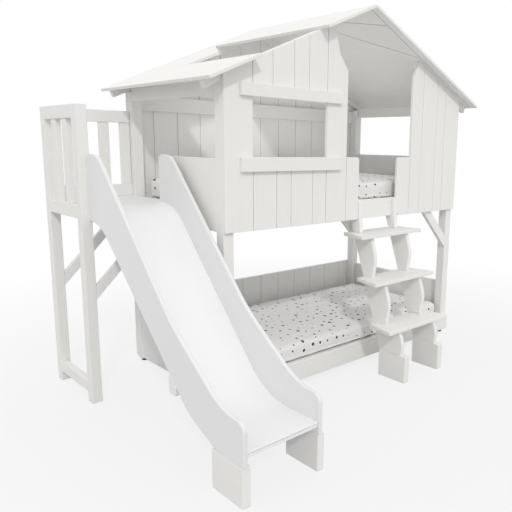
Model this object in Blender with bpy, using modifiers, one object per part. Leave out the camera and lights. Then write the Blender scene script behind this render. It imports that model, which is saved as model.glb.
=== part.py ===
"""Tree-house bunk bed: two bunks under a gabled roof, with a side tower, a slide and a ladder.

X runs along the bed, Y from the open front to the back wall, Z up from the floor, in metres.
Sizes are read from the bed's front left corner. One empty carries every piece and moves that
corner, so that the part's origin is at the middle of its footprint.
"""

from math import atan, cos, pi, sin, tan

import bmesh
import bpy
from mathutils import Matrix, Vector

# Fits
clearance = 0.0003
board_gap = 0.004
roof_joint = 0.0008
edge_ease = 0.002
arc_steps = 6

# Mattresses, which set the bed's length and depth
mattress_length = 1.978
mattress_width = 0.950
mattress_end_room = 0.0057
mattress_front_room = 0.010
mattress_back_room = 0.0571
upper_mattress_thick = 0.124
lower_mattress_thick = 0.114
mattress_round = 0.028
mattress_crown = 0.008
mattress_draw = 0.006
mattress_cuts = 9
mattress_flat_share = 0.6

# House frame and walls
board_thick = 0.020
post_size = 0.065
rail_thick = 0.025
house_floor = 0.9955
guard_height = 0.3975
left_guard_drop = 0.008
window_height = 0.315
header_height = 0.076
header_thick = 0.030
post_drop = 0.0136
upper_rail_height = 0.1245
back_rail_height = 0.095
back_rail_drop = 0.029
back_board_count = 12
seam_end = 0.030

# Front wall, from left to right
corner_board_right = 0.183
tall_board_left = 0.731
tall_board_width = 0.175
left_guard_width = 0.118
right_guard_width = 0.1395
right_wall_width = 0.5705
sill_left = 0.096
sill_length = 0.744
sill_height = 0.077
sill_thick = 0.022
trim_height = 0.067
window_seam_shares = (0.297, 0.492, 0.801)
gable_seam_shares = (0.247, 0.530, 0.735)
right_wall_seam_shares = (0.209, 0.506, 0.690)
tall_board_top_width = 0.051
tall_board_shoulder = 0.101
tall_board_shoulder_drop = 0.307
tall_board_low_drop = 0.400
right_cut_width = 0.0655
right_cut_drop = 0.375
guard_corner_radius = 0.022
guard_chamfer_width = 0.030
guard_chamfer_height = 0.036

# Roof
roof_angle_share = 0.43886
eave_overhang = 0.134
front_overhang = 0.076
back_overhang = 0.054
roof_thick = 0.018
barge_width = 0.055
rafter_depth = 0.045
rafter_thick = 0.030
rafter_tail = 0.014
rafter_past_gable = 0.069
rafter_past_cut = 0.005
left_band_shares = (0.335, 0.733)
left_skew_shares = (0.928, 0.623)
left_turn_shares = (0.540, 0.607)
right_seam_slope_share = 0.4405
right_seam_depth_share = 0.554

# Bunks
base_bar = 0.060
base_thick = 0.048
upper_base_lift = 0.0645
lower_base_low = 0.090
slat_count = 12
slat_width = 0.070
lower_rail_low = 0.030
lower_rail_high = 0.153
lower_back_top = 0.435
lower_end_top = 0.412
bed_brace_run = 0.2952
bed_brace_face = 0.092
bed_brace_thick = 0.030

# Tower
tower_reach = 0.5165
tower_post = 0.058
tower_depth = 0.515
tower_back_step = 0.009
guard_over_deck = 0.525
tower_rail = 0.072
tower_side_thick = 0.040
side_slat_width = 0.060
side_slat_shares = (0.308, 0.692)
foot_rail_low = 0.060
foot_rail_high = 0.125
back_slat_width = 0.063
back_slat_shares = (0.345, 0.634, 0.925)
deck_step = 0.005
deck_thick = 0.020
beam_height = 0.055
front_beam_thick = 0.023
back_beam_thick = 0.030
tower_brace_run = 0.4497
tower_brace_face = 0.078

# Slide
slide_left = 0.4756
slide_width = 0.4356
slide_side_thick = 0.022
slide_slope_share = 1.054
slide_wall = 0.231
side_over_deck = 0.270
side_top_radius = 0.120
side_back_radius = 0.035
chute_thick = 0.018
chute_top_length = 0.1643
chute_low = 0.247
chute_top_radius = 0.300
chute_low_radius = 0.400
chute_run_out = 0.3697
chute_lip_length = 0.045
chute_lip_drop = 0.008
side_past_chute = 0.005
side_knee_back = 0.1703
side_knee_radius = 1.000
side_toe_ahead = 0.2147
side_toe_height = 0.385
side_toe_radius = 0.350
side_nose_height = 0.375
side_nose_radius = 0.045
side_heel_drop = 0.085
side_heel_ahead = 0.125
side_under_slope_share = 0.92
side_under_bend_back = 0.0403
side_under_flat_ahead = 0.1797
side_under_radius = 0.300
slide_foot_height = 0.183
slide_foot_thick = 0.040
slide_foot_set_back = 0.0075
slide_foot_length = 0.2222
slide_foot_step = 0.019
batten_back = 0.2003
batten_width = 0.060
batten_low = 0.320
batten_radius = 0.012

# Ladder
stringer_thick = 0.030
ladder_foot_thick = 0.046
ladder_foot_height = 0.173
ladder_foot_set_back = 0.0356
ladder_foot_length = 0.2144
tread_count = 3
first_tread_height = 0.349
top_tread_drop = 0.0855
tread_thick = 0.022
tread_length = 0.615
tread_depth = 0.205
tread_end_cut = 0.050
tread_corner = 0.008
top_tread_front = 0.142
tread_lean_share = 0.450
stringer_lean_share = 0.352
stringer_back_at_top = 0.068
stringer_spine = 0.040
stringer_neck = 0.027
stringer_belly = 0.014
stringer_toe = 0.005
stringer_belly_radius = 0.150
stringer_head_low_front = 0.022
stringer_head_high_front = 0.003
stringer_head_drop = 0.006

# Plan of the house body
inner_left = post_size + clearance
bed_length = mattress_length + 2 * (inner_left + mattress_end_room)
bed_depth = (
    2 * (board_thick + clearance)
    + rail_thick
    + clearance
    + mattress_front_room
    + mattress_width
    + mattress_back_room
)
inner_right = bed_length - inner_left
post_front = board_thick + clearance
post_back = bed_depth - board_thick - clearance
inner_front = post_front + post_size
inner_back = post_back - post_size
between_posts = (inner_front + clearance, inner_back - clearance)
tall_board_right = tall_board_left + tall_board_width
entrance_left = tall_board_right + left_guard_width
guard_board_edge = bed_length - right_wall_width
entrance_right = guard_board_edge - right_guard_width

# Heights of the house body
upper_rail_top = house_floor + upper_rail_height
guard_top = house_floor + guard_height
header_low = guard_top + window_height
header_high = header_low + header_height
post_top = header_high - post_drop

# Roof
ridge_x = bed_length / 2
roof_angle = atan(roof_angle_share)
roof_layers = roof_thick + rafter_depth + 2 * clearance
ridge_height = post_top + roof_layers / cos(roof_angle) + roof_angle_share * ridge_x
slope_length = (ridge_x + eave_overhang) / cos(roof_angle)
roof_front = -front_overhang
roof_back = bed_depth + back_overhang

# Tower and slide
deck_top = upper_rail_top + deck_step
beam_top = deck_top - deck_thick
beam_low = beam_top - beam_height
tower_inner = tower_post - tower_reach
tower_back = bed_depth + tower_back_step
tower_front = tower_back - tower_depth
tower_height = deck_top + guard_over_deck
slide_right = slide_width - slide_left
slide_angle = atan(slide_slope_share)
chute_top_bend = tower_front - chute_top_length
chute_low_bend = chute_top_bend - (deck_top - chute_low) / slide_slope_share
chute_end = chute_low_bend - chute_run_out
slide_front = chute_end - side_past_chute

# Ladder
ladder_left = entrance_left + clearance
ladder_right = entrance_right - clearance - stringer_thick
top_tread_height = house_floor - top_tread_drop
tread_rise = (top_tread_height - first_tread_height) / (tread_count - 1)

# The middle of the whole footprint
origin_corner = Vector(
    (
        (bed_length + eave_overhang - tower_reach) / 2,
        (roof_back + slide_front) / 2,
        0,
    )
)


def start_scene():
    for obj in list(bpy.data.objects):
        bpy.data.objects.remove(obj)
    collection = bpy.data.collections.new("bunk_bed_with_slide")
    bpy.context.scene.collection.children.link(collection)
    carrier = bpy.data.objects.new("bed_corner", None)
    carrier.location = -origin_corner
    collection.objects.link(carrier)
    return collection, carrier


def paint(name, colour, roughness, metallic=0.0):
    material = bpy.data.materials.new(name)
    material.use_nodes = True
    shader = material.node_tree.nodes["Principled BSDF"]
    shader.inputs["Base Color"].default_value = (*colour, 1.0)
    shader.inputs["Roughness"].default_value = roughness
    shader.inputs["Metallic"].default_value = metallic
    return material


bed, corner = start_scene()
white_wood = paint("white_painted_wood", (0.80, 0.79, 0.77), 0.45)
slide_white = paint("slide_lacquer", (0.82, 0.84, 0.86), 0.25)
sheet_cotton = paint("sheet_cotton", (0.84, 0.83, 0.81), 0.85)


def add(obj, material):
    """Puts a piece in the bed's collection, under the corner empty, with its finish."""
    bed.objects.link(obj)
    obj.parent = corner
    obj.data.materials.append(material)
    return obj


def mesh_piece(name, shape, material):
    mesh = bpy.data.meshes.new(name)
    shape.to_mesh(mesh)
    shape.free()
    return add(bpy.data.objects.new(name, mesh), material)


def bar(name, x_span, y_span, z_span):
    """A square bar or plain board with eased edges, from its x span, y span and z span."""
    spans = (x_span, y_span, z_span)
    size = Vector([high - low for low, high in spans])
    centre = Vector([(low + high) / 2 for low, high in spans])
    shape = bmesh.new()
    bmesh.ops.create_cube(shape, size=1, matrix=Matrix.LocRotScale(centre, None, size))
    piece = mesh_piece(name, shape, white_wood)
    bevel = piece.modifiers.new("eased_edges", "BEVEL")
    bevel.width = edge_ease
    bevel.segments = 1


def flat_board(name, outlines, thick, material=white_wood, ease=edge_ease):
    """Boards sawn to flat outlines: closed 2D curves with a thickness and eased edges."""
    curve = bpy.data.curves.new(name, "CURVE")
    curve.dimensions = "2D"
    curve.fill_mode = "BOTH"
    curve.extrude = thick / 2 - ease
    curve.bevel_depth = ease
    curve.bevel_resolution = 0
    curve.offset = -ease
    for outline in outlines:
        spline = curve.splines.new("POLY")
        spline.points.add(len(outline[1:]))
        spline.use_cyclic_u = True
        for point, (u, v) in zip(spline.points, outline):
            point.co = (u, v, 0, 1)
    return add(bpy.data.objects.new(name, curve), material)


def sawn(name, outlines, across, span, material=white_wood):
    """Flat boards that stand across X or Y, or lie across Z, between the span's two faces."""
    board = flat_board(name, outlines, span[1] - span[0], material)
    turns = {"X": (pi / 2, 0, pi / 2), "Y": (pi / 2, 0, 0), "Z": (0, 0, 0)}
    board.rotation_euler = turns[across]
    board.location["XYZ".index(across)] = (span[0] + span[1]) / 2
    return board


def rounded(corners):
    """Outline from (u, v, radius) corners: a corner with a radius becomes an arc."""
    outline = []
    for index, (u, v, radius) in enumerate(corners):
        here = Vector((u, v))
        if not radius:
            outline.append(here)
            continue
        before = (Vector(corners[index - 1][:2]) - here).normalized()
        after = (Vector(corners[(index + 1) % len(corners)][:2]) - here).normalized()
        half = before.angle(after) / 2
        centre = here + (before + after).normalized() * radius / sin(half)
        first = here + before * radius / tan(half) - centre
        last = here + after * radius / tan(half) - centre
        turn = first.angle_signed(last)
        for step in range(arc_steps + 1):
            outline.append(centre + Matrix.Rotation(-turn * step / arc_steps, 2) @ first)
    return outline


def at_share(start, end, share):
    return start + (end - start) * share


def seam_places(start, end, shares):
    return [at_share(start, end, share) for share in shares]


def even_seams(start, end, count):
    return seam_places(start, end, [n / count for n in range(1, count)])


def around(centre, width):
    return (centre - width / 2, centre + width / 2)


def roof_under(x):
    """Height that a board under the roof may reach at a place along the bed."""
    drop = tan(roof_angle) * abs(x - ridge_x) + (roof_thick + clearance) / cos(roof_angle)
    return ridge_height - drop


def slope_point(side, along, depth):
    """Point (x, z) of one slope, down it from the ridge and under its top face."""
    x = side * (along * cos(roof_angle) - depth * sin(roof_angle))
    z = -along * sin(roof_angle) - depth * cos(roof_angle)
    return (ridge_x + x, ridge_height + z)


# House frame


def make_posts():
    z_span = (0, post_top)
    sides = {"left": (0, post_size), "right": (bed_length - post_size, bed_length)}
    rows = {"front": (post_front, inner_front), "back": (inner_back, post_back)}
    for side, x_span in sides.items():
        for row, y_span in rows.items():
            bar(f"bed_post_{row}_{side}", x_span, y_span, z_span)


def make_headers():
    z_span = (header_low, header_high)
    bar("header_left", (0, header_thick), between_posts, z_span)
    bar("header_right", (bed_length - header_thick, bed_length), between_posts, z_span)


# Walls of standing boards


def roof_line(left, right):
    """Top points of a wall under the roof, from its right end to its left end."""
    turns = [ridge_x] if left < ridge_x < right else []
    return [(x, roof_under(x)) for x in (right, *turns, left)]


def line_height(line, x):
    """Height of a top line, whose points run from right to left, at a place along it."""
    for (right, right_z), (left, left_z) in zip(line, line[1:]):
        if left <= x <= right:
            return at_share(left_z, right_z, (x - left) / (right - left))
    return line[-1][1]


def boards_from_foot(span, foot, line, seams):
    """Standing boards: open joints run up from the foot and stop just under the top line."""
    outline = [(span[0], foot)]
    for seam in seams:
        left, right = around(seam, board_gap)
        high = min(line_height(line, left), line_height(line, right)) - seam_end
        outline += [(left, foot), (left, high), (right, high), (right, foot)]
    return [*outline, (span[1], foot), *line]


def boards_from_top(span, foot, line, seams):
    """Standing boards: open joints run down from the top line and stop just over the foot."""
    outline = [(span[0], foot), (span[1], foot)]
    points = list(line)
    for seam in seams:
        left, right = around(seam, board_gap)
        low = foot + seam_end
        notch = [(right, line_height(line, right)), (right, low), (left, low)]
        notch.append((left, line_height(line, left)))
        place = next(n for n, point in enumerate(points) if point[0] < left)
        points[place:place] = notch
    return outline + points


def flat_line(span, height):
    return [(span[1], height), (span[0], height)]


def make_front_left():
    face = (0, board_thick)
    half = board_gap / 2
    corner_span = (0, corner_board_right - half)
    outline = boards_from_foot(corner_span, house_floor, roof_line(*corner_span), [])
    sawn("corner_board_left", [outline], "Y", face)

    window = (corner_board_right + half, tall_board_left - half)
    seams = seam_places(*window, window_seam_shares)
    outline = boards_from_foot(window, house_floor, flat_line(window, guard_top), seams)
    sawn("window_boards", [outline], "Y", face)

    seams = reversed(seam_places(*window, gable_seam_shares))
    outline = boards_from_top(window, header_low, roof_line(*window), seams)
    sawn("gable_boards", [outline], "Y", face)

    tall = (tall_board_left + half, tall_board_right - half)
    line = [
        (tall[1], ridge_height - tall_board_low_drop),
        (tall_board_left + tall_board_shoulder, ridge_height - tall_board_shoulder_drop),
        *roof_line(tall[0], tall_board_left + tall_board_top_width),
    ]
    sawn("tall_board_left", [boards_from_foot(tall, house_floor, line, [])], "Y", face)


def make_guard_boards():
    face = (0, board_thick)
    half = board_gap / 2
    left_edge = tall_board_right + half
    left = rounded(
        [
            (left_edge, house_floor, 0),
            (entrance_left, house_floor, 0),
            (entrance_left, guard_top, guard_corner_radius),
            (left_edge, guard_top, 0),
        ]
    )
    sawn("guard_board_left", [left], "Y", face)
    right_edge = guard_board_edge - half
    right = rounded(
        [
            (entrance_right + guard_chamfer_width, house_floor, 0),
            (right_edge, house_floor, 0),
            (right_edge, guard_top, 0),
            (entrance_right, guard_top, guard_corner_radius),
            (entrance_right, house_floor + guard_chamfer_height, 0),
        ]
    )
    sawn("guard_board_right", [right], "Y", face)


def make_front_right():
    span = (guard_board_edge + board_gap / 2, bed_length)
    line = roof_line(guard_board_edge + right_cut_width, span[1])
    line.append((span[0], ridge_height - right_cut_drop))
    seams = seam_places(*span, right_wall_seam_shares)
    outline = boards_from_foot(span, house_floor, line, seams)
    sawn("right_wall_boards", [outline], "Y", (0, board_thick))


def make_window_trim():
    x_span = (sill_left, sill_left + sill_length)
    y_span = (-clearance - sill_thick, -clearance)
    bar("window_sill", x_span, y_span, (guard_top - sill_height, guard_top))
    bar("window_header", x_span, y_span, (header_low, header_low + trim_height))


# Roof


def roof_plate(name, side, outline):
    """A roof board whose outline lies on a slope, as (distance from the ridge, y)."""
    plate = flat_board(name, [outline], roof_thick)
    x, z = slope_point(side, 0, roof_thick / 2)
    plate.location = (x, 0, z)
    plate.rotation_euler = (0, roof_angle if side > 0 else pi - roof_angle, 0)


def make_left_slope():
    """The left slope is open between two bands near the front and closed at the back."""
    ridge = roof_thick * tan(roof_angle) + clearance
    gap_high, gap_low = [slope_length * share for share in left_band_shares]
    skew_high, skew_low = [at_share(roof_front, roof_back, s) for s in left_skew_shares]
    turn_slope = slope_length * left_turn_shares[0]
    turn_depth = at_share(roof_front, roof_back, left_turn_shares[1])
    outline = [
        (ridge, roof_front),
        (gap_high, roof_front),
        (gap_high, skew_high),
        (turn_slope, turn_depth),
        (gap_low, skew_low),
        (gap_low, roof_front),
        (slope_length, roof_front),
        (slope_length, roof_back),
        (ridge, roof_back),
    ]
    roof_plate("roof_left", -1, outline)


def make_right_slope():
    """The right slope is a front edge board and two board fields with a skewed joint."""
    ridge = roof_thick * tan(roof_angle) + clearance
    joint = roof_joint / 2
    front = roof_front + barge_width + joint
    barge = [
        (ridge, roof_front),
        (slope_length, roof_front),
        (slope_length, front - roof_joint),
        (ridge, front - roof_joint),
    ]
    roof_plate("roof_right_edge", 1, barge)
    seam_low = slope_length * right_seam_slope_share
    seam_turn = at_share(roof_front, roof_back, right_seam_depth_share)
    upper = [(ridge, front), (seam_low - joint, front), (ridge, seam_turn - joint)]
    roof_plate("roof_right_upper", 1, upper)
    lower = [
        (seam_low + joint, front),
        (slope_length, front),
        (slope_length, roof_back),
        (ridge, roof_back),
        (ridge, seam_turn + joint),
    ]
    roof_plate("roof_right_lower", 1, lower)


def rafter(side, start):
    """A front rafter's side view, from its upper end down to the tail under the eave."""
    top = roof_thick + clearance
    low = top + rafter_depth
    tail = slope_length - rafter_tail
    return [slope_point(side, *spot) for spot in ((start, top), (tail, top), (tail, low), (start, low))]


def make_rafters():
    """The back rafters meet at the ridge; the front ones end beside the open entrance."""
    front = (post_front, post_front + rafter_thick)
    left_end = tall_board_left + rafter_past_gable
    right_end = guard_board_edge + right_cut_width + rafter_past_cut
    left_start = (ridge_x - left_end) / cos(roof_angle)
    right_start = (right_end - ridge_x) / cos(roof_angle)
    sawn("rafter_front_left", [rafter(-1, left_start)], "Y", front)
    sawn("rafter_front_right", [rafter(1, right_start)], "Y", front)
    top = roof_thick + clearance
    low = top + rafter_depth
    left_half = rafter(-1, low * tan(roof_angle))
    right_half = rafter(1, low * tan(roof_angle))
    peak = (ridge_x, ridge_height - top / cos(roof_angle))
    pair = [peak, *left_half[1:], *reversed(right_half[1:3])]
    sawn("rafters_back", [pair], "Y", (post_back - rafter_thick, post_back))


# Back and side walls


def make_back_wall():
    span = (0, bed_length)
    seams = even_seams(*span, back_board_count)
    outline = boards_from_foot(span, house_floor, roof_line(*span), seams)
    sawn("back_wall_boards", [outline], "Y", (bed_depth - board_thick, bed_depth))
    y_span = (post_back - rail_thick, post_back)
    high = header_high - back_rail_drop
    bar("back_wall_rail", (inner_left, inner_right), y_span, (high - back_rail_height, high))


def make_side_guards():
    front, back = between_posts
    entry_front = tower_front + front_beam_thick
    high = guard_top - left_guard_drop
    outline = [
        (front, house_floor),
        (back, house_floor),
        (back, upper_rail_top),
        (entry_front, upper_rail_top),
        (entry_front, high),
        (front, high),
    ]
    sawn("side_guard_left", [outline], "X", (0, board_thick))
    x_span = (bed_length - board_thick, bed_length)
    bar("side_guard_right", x_span, between_posts, (house_floor, guard_top))


# Bunks


def slatted_base(name, z_span, y_span):
    """A bed base: two side bars with slats between them, sawn as one open frame."""
    front, back = y_span
    outlines = [
        [(inner_left, front), (inner_right, front), (inner_right, back), (inner_left, back)]
    ]
    pitch = (inner_right - inner_left) / slat_count
    for n in range(1, slat_count):
        left, right = around(inner_left + n * pitch, pitch - slat_width)
        low, high = front + base_bar, back - base_bar
        outlines.append([(left, low), (right, low), (right, high), (left, high)])
    sawn(name, outlines, "Z", z_span)


def eased_place(share, half):
    """Spreads even grid lines so that the outer ones fall in a mattress's round edge."""
    inner = half - mattress_round
    if abs(share) <= mattress_flat_share:
        return inner * share / mattress_flat_share
    turn = (abs(share) - mattress_flat_share) / (1 - mattress_flat_share)
    return (inner + mattress_round * turn) * (1 if share > 0 else -1)


def mattress(name, front, bottom, thick):
    """A crowned foam block with round edges and drawn-in sides."""
    halves = Vector((mattress_length / 2, mattress_width / 2, thick / 2))
    shape = bmesh.new()
    bmesh.ops.create_cube(shape, size=2)
    bmesh.ops.subdivide_edges(shape, edges=shape.edges, cuts=mattress_cuts, use_grid_fill=True)
    for vert in shape.verts:
        place = Vector([eased_place(share, half) for share, half in zip(vert.co, halves)])
        core = Vector([half - mattress_round for half in halves])
        core = Vector([max(-c, min(c, p)) for c, p in zip(core, place)])
        skin = place - core
        if skin.length:
            place = core + skin.normalized() * max(abs(part) for part in skin)
        swell = [max(1 - (p / half) ** 2, 0) for p, half in zip(place, halves)]
        place.x *= 1 - mattress_draw / halves.x * swell[1] * swell[2]
        place.y *= 1 - mattress_draw / halves.y * swell[0] * swell[2]
        if place.z > 0:
            place.z += mattress_crown * swell[0] * swell[1]
        vert.co = place
    pad = mesh_piece(name, shape, sheet_cotton)
    pad.data.shade_smooth()
    pad.location = (ridge_x, front + halves.y, bottom + halves.z)


def make_upper_bunk():
    rail_back = post_front + rail_thick
    x_span = (inner_left, inner_right)
    bar("upper_rail_front", x_span, (post_front, rail_back), (house_floor, upper_rail_top))
    base_low = house_floor + upper_base_lift
    base_top = base_low + base_thick
    front = rail_back + clearance
    slatted_base("upper_bed_base", (base_low, base_top), (front, post_back))
    front += mattress_front_room
    mattress("upper_mattress", front, base_top + clearance, upper_mattress_thick)


def make_lower_bunk():
    bar("lower_rail_front", (0, bed_length), (0, board_thick), (lower_rail_low, lower_rail_high))
    span = (0, bed_length)
    line = flat_line(span, lower_back_top)
    seams = even_seams(*span, back_board_count)
    outline = boards_from_foot(span, lower_rail_low, line, seams)
    sawn("lower_back_boards", [outline], "Y", (bed_depth - board_thick, bed_depth))
    z_span = (lower_rail_low, lower_end_top)
    bar("lower_panel_left", (0, board_thick), between_posts, z_span)
    bar("lower_panel_right", (bed_length - board_thick, bed_length), between_posts, z_span)
    base_top = lower_base_low + base_thick
    slatted_base("lower_bed_base", (lower_base_low, base_top), (post_front, post_back))
    front = post_front + mattress_front_room
    mattress("lower_mattress", front, base_top + clearance, lower_mattress_thick)


def brace_outline(post_face, low, high, face, way):
    """A knee brace at 45 degrees, from a post's face up to a beam's underside."""
    run = high - low
    return [
        (post_face, low),
        (post_face + way * run, high),
        (post_face + way * (run - face), high),
        (post_face, low + face),
    ]


def make_bed_braces():
    high = house_floor - clearance
    outline = brace_outline(inner_right, high - bed_brace_run, high, bed_brace_face, -1)
    sawn("bed_brace_front", [outline], "Y", (post_front, post_front + bed_brace_thick))
    sawn("bed_brace_back", [outline], "Y", (post_back - bed_brace_thick, post_back))


# Tower


def make_tower_posts():
    x_span = (-tower_reach, tower_inner)
    z_span = (0, tower_height)
    bar("tower_post_front", x_span, (tower_front, tower_front + tower_post), z_span)
    bar("tower_post_back", x_span, (tower_back - tower_post, tower_back), z_span)


def rails_and_slats(span, low, high, centres, width):
    """A guard seen flat: two rails joined by slats, open at its ends and between slats."""
    left, right = span
    rail_top, rail_under = low + tower_rail, high - tower_rail
    spans = [around(centre, width) for centre in centres]
    first, last = spans[0][0], min(spans[-1][1], right)
    outline = [
        (left, low),
        (right, low),
        (right, rail_top),
        (last, rail_top),
        (last, rail_under),
        (right, rail_under),
        (right, high),
        (left, high),
        (left, rail_under),
        (first, rail_under),
        (first, rail_top),
        (left, rail_top),
    ]
    holes = [
        [(a, rail_top), (b, rail_top), (b, rail_under), (a, rail_under)]
        for (_, a), (b, _) in zip(spans, spans[1:])
    ]
    return [outline, *holes]


def make_tower_guards():
    y_span = (
        tower_front + tower_post + clearance,
        tower_back - tower_post - clearance,
    )
    side_x = (-tower_reach, tower_side_thick - tower_reach)
    centres = seam_places(*y_span, side_slat_shares)
    side = rails_and_slats(y_span, beam_low, tower_height, centres, side_slat_width)
    sawn("tower_side_guard", side, "X", side_x)
    bar("tower_foot_rail", side_x, y_span, (foot_rail_low, foot_rail_high))

    x_span = (tower_inner + clearance, -clearance)
    back_y = (tower_back - tower_post, tower_back - tower_post + back_beam_thick)
    centres = seam_places(*x_span, back_slat_shares)
    low = deck_top + clearance
    back = rails_and_slats(x_span, low, tower_height, centres, back_slat_width)
    sawn("tower_back_guard", back, "Y", back_y)


def make_deck():
    x_span = (tower_inner + clearance, -clearance)
    front_y = (tower_front, tower_front + front_beam_thick)
    back_y = (tower_back - tower_post, tower_back - tower_post + back_beam_thick)
    z_span = (beam_low, beam_top - clearance)
    bar("deck_beam_front", x_span, front_y, z_span)
    bar("deck_beam_back", x_span, back_y, z_span)
    bar("tower_deck", x_span, (front_y[0], back_y[1]), (beam_top, deck_top))
    high = beam_low - clearance
    outline = brace_outline(x_span[0], high - tower_brace_run, high, tower_brace_face, 1)
    sawn("tower_brace_front", [outline], "Y", front_y)
    sawn("tower_brace_back", [outline], "Y", back_y)


# Slide, seen from its side as (y, z) outlines


def side_under(y):
    """Height of the straight underside of the slide's sides."""
    heel = tower_front - side_heel_ahead
    return deck_top - side_heel_drop - (heel - y) * side_under_slope_share


def side_outline():
    back = tower_front - clearance
    top_start = chute_top_bend + (side_over_deck - slide_wall) / slide_slope_share
    side_top = deck_top + side_over_deck
    knee = chute_low_bend + side_knee_back
    bend = chute_low_bend + side_under_bend_back
    heel = tower_front - side_heel_ahead
    foot_top = slide_foot_height + clearance
    return rounded(
        [
            (back, side_under(heel), 0),
            (back, side_top, side_back_radius),
            (top_start, side_top, side_top_radius),
            (knee, side_top - (top_start - knee) * slide_slope_share, side_knee_radius),
            (chute_low_bend - side_toe_ahead, side_toe_height, side_toe_radius),
            (slide_front, side_nose_height, side_nose_radius),
            (slide_front, foot_top, 0),
            (chute_low_bend - side_under_flat_ahead, foot_top, 0),
            (bend, side_under(bend), side_under_radius),
            (heel, side_under(heel), side_under_radius),
        ]
    )


def make_slide_sides():
    outline = side_outline()
    left = (-slide_left, slide_side_thick - slide_left)
    right = (slide_right - slide_side_thick, slide_right)
    sawn("slide_side_left", [outline], "X", left, slide_white)
    sawn("slide_side_right", [outline], "X", right, slide_white)


def make_chute():
    back = tower_front - clearance
    shift = chute_thick * tan(slide_angle / 2)
    under = chute_low - chute_thick
    lip_back = chute_end + chute_lip_length
    outline = rounded(
        [
            (back, deck_top, 0),
            (chute_top_bend, deck_top, chute_top_radius),
            (chute_low_bend, chute_low, chute_low_radius),
            (chute_end, chute_low, 0),
            (chute_end, under - chute_lip_drop, 0),
            (lip_back, under - chute_lip_drop, 0),
            (lip_back, under, 0),
            (chute_low_bend + shift, under, chute_low_radius + chute_thick),
            (chute_top_bend + shift, deck_top - chute_thick, chute_top_radius - chute_thick),
            (back, deck_top - chute_thick, 0),
        ]
    )
    x_span = (
        slide_side_thick - slide_left + clearance,
        slide_right - slide_side_thick - clearance,
    )
    sawn("slide_chute", [outline], "X", x_span, slide_white)


def make_slide_supports():
    foot_front = slide_front + slide_foot_set_back
    y_span = (foot_front, foot_front + slide_foot_length)
    z_span = (0, slide_foot_height)
    left_x = (-slide_left, slide_foot_thick - slide_left)
    right_end = slide_right + slide_foot_step
    bar("slide_foot_left", left_x, y_span, z_span)
    bar("slide_foot_right", (right_end - slide_foot_thick, right_end), y_span, z_span)

    gap = clearance / cos(atan(side_under_slope_share))
    back = chute_low_bend + batten_back
    front = back - batten_width
    batten = rounded(
        [
            (front, batten_low, batten_radius),
            (back, batten_low, batten_radius),
            (back, side_under(back) - gap, 0),
            (front, side_under(front) - gap, 0),
        ]
    )
    sawn("slide_batten", [batten], "X", (-slide_left, slide_right))


# Ladder


def tread_front(height):
    return -top_tread_front - tread_lean_share * (top_tread_height - height)


def stringer_back(z):
    return stringer_back_at_top - stringer_lean_share * (house_floor - z)


def stringer_outline(heights):
    """A side of the ladder: a spine behind the treads and a curved nose between them.

    Its head stands before the upper bunk's rail, between the guard boards.
    """
    high = house_floor - clearance
    low = ladder_foot_height + clearance
    head_back = post_front - clearance
    head_top = upper_rail_top - stringer_head_drop
    corners = [(stringer_back(low), low, 0), (stringer_back(high), high, 0)]
    corners += [(head_back, high, 0), (head_back, head_top, 0)]
    corners.append((-stringer_head_high_front, head_top, 0))
    nose_low = (-stringer_head_low_front, heights[0] + clearance, 0)
    for height, below in zip(heights, [*heights[1:], None]):
        under = height - tread_thick - clearance
        foot = low if below is None else below + clearance
        slot = stringer_back(height) - stringer_spine
        front = tread_front(height)
        corners += [
            nose_low,
            (slot, height + clearance, 0),
            (slot, under, 0),
            (front + stringer_neck, under, 0),
            (front - stringer_belly, (foot + under) / 2, stringer_belly_radius),
        ]
        nose_low = (front + stringer_toe, foot, 0)
    return rounded([*corners, nose_low])


def tread_outline(height, middle):
    """A tread from above: tapered ends and a notch at the back round each spine."""
    front = tread_front(height)
    back = front + tread_depth
    notch_front = stringer_back(height) - stringer_spine - clearance
    ends = around(middle, tread_length)
    back_ends = around(middle, tread_length - 2 * tread_end_cut)
    corners = [(ends[0], front, tread_corner), (ends[1], front, tread_corner)]
    corners.append((back_ends[1], back, tread_corner))
    for stringer in (ladder_right, ladder_left):
        left, right = stringer - clearance, stringer + stringer_thick + clearance
        corners += [(right, back, 0), (right, notch_front, 0)]
        corners += [(left, notch_front, 0), (left, back, 0)]
    return rounded([*corners, (back_ends[0], back, tread_corner)])


def make_ladder():
    middle = (ladder_left + ladder_right + stringer_thick) / 2
    heights = [top_tread_height - tread_rise * n for n in range(tread_count)]
    for number, height in enumerate(reversed(heights), 1):
        outline = tread_outline(height, middle)
        sawn(f"ladder_tread_{number}", [outline], "Z", (height - tread_thick, height))
    foot_front = tread_front(first_tread_height) - ladder_foot_set_back
    foot_y = (foot_front, foot_front + ladder_foot_length)
    for side, x in (("left", ladder_left), ("right", ladder_right)):
        sawn(f"ladder_stringer_{side}", [stringer_outline(heights)], "X", (x, x + stringer_thick))
        bar(f"ladder_foot_{side}", (x, x + ladder_foot_thick), foot_y, (0, ladder_foot_height))


make_posts()
make_headers()
make_front_left()
make_guard_boards()
make_front_right()
make_window_trim()
make_left_slope()
make_right_slope()
make_rafters()
make_back_wall()
make_side_guards()
make_upper_bunk()
make_lower_bunk()
make_bed_braces()
make_tower_posts()
make_tower_guards()
make_deck()
make_slide_sides()
make_chute()
make_slide_supports()
make_ladder()
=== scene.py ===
from math import atan, cos, pi, radians, sin, tan

import bpy
from mathutils import Matrix, Vector, noise


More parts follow.
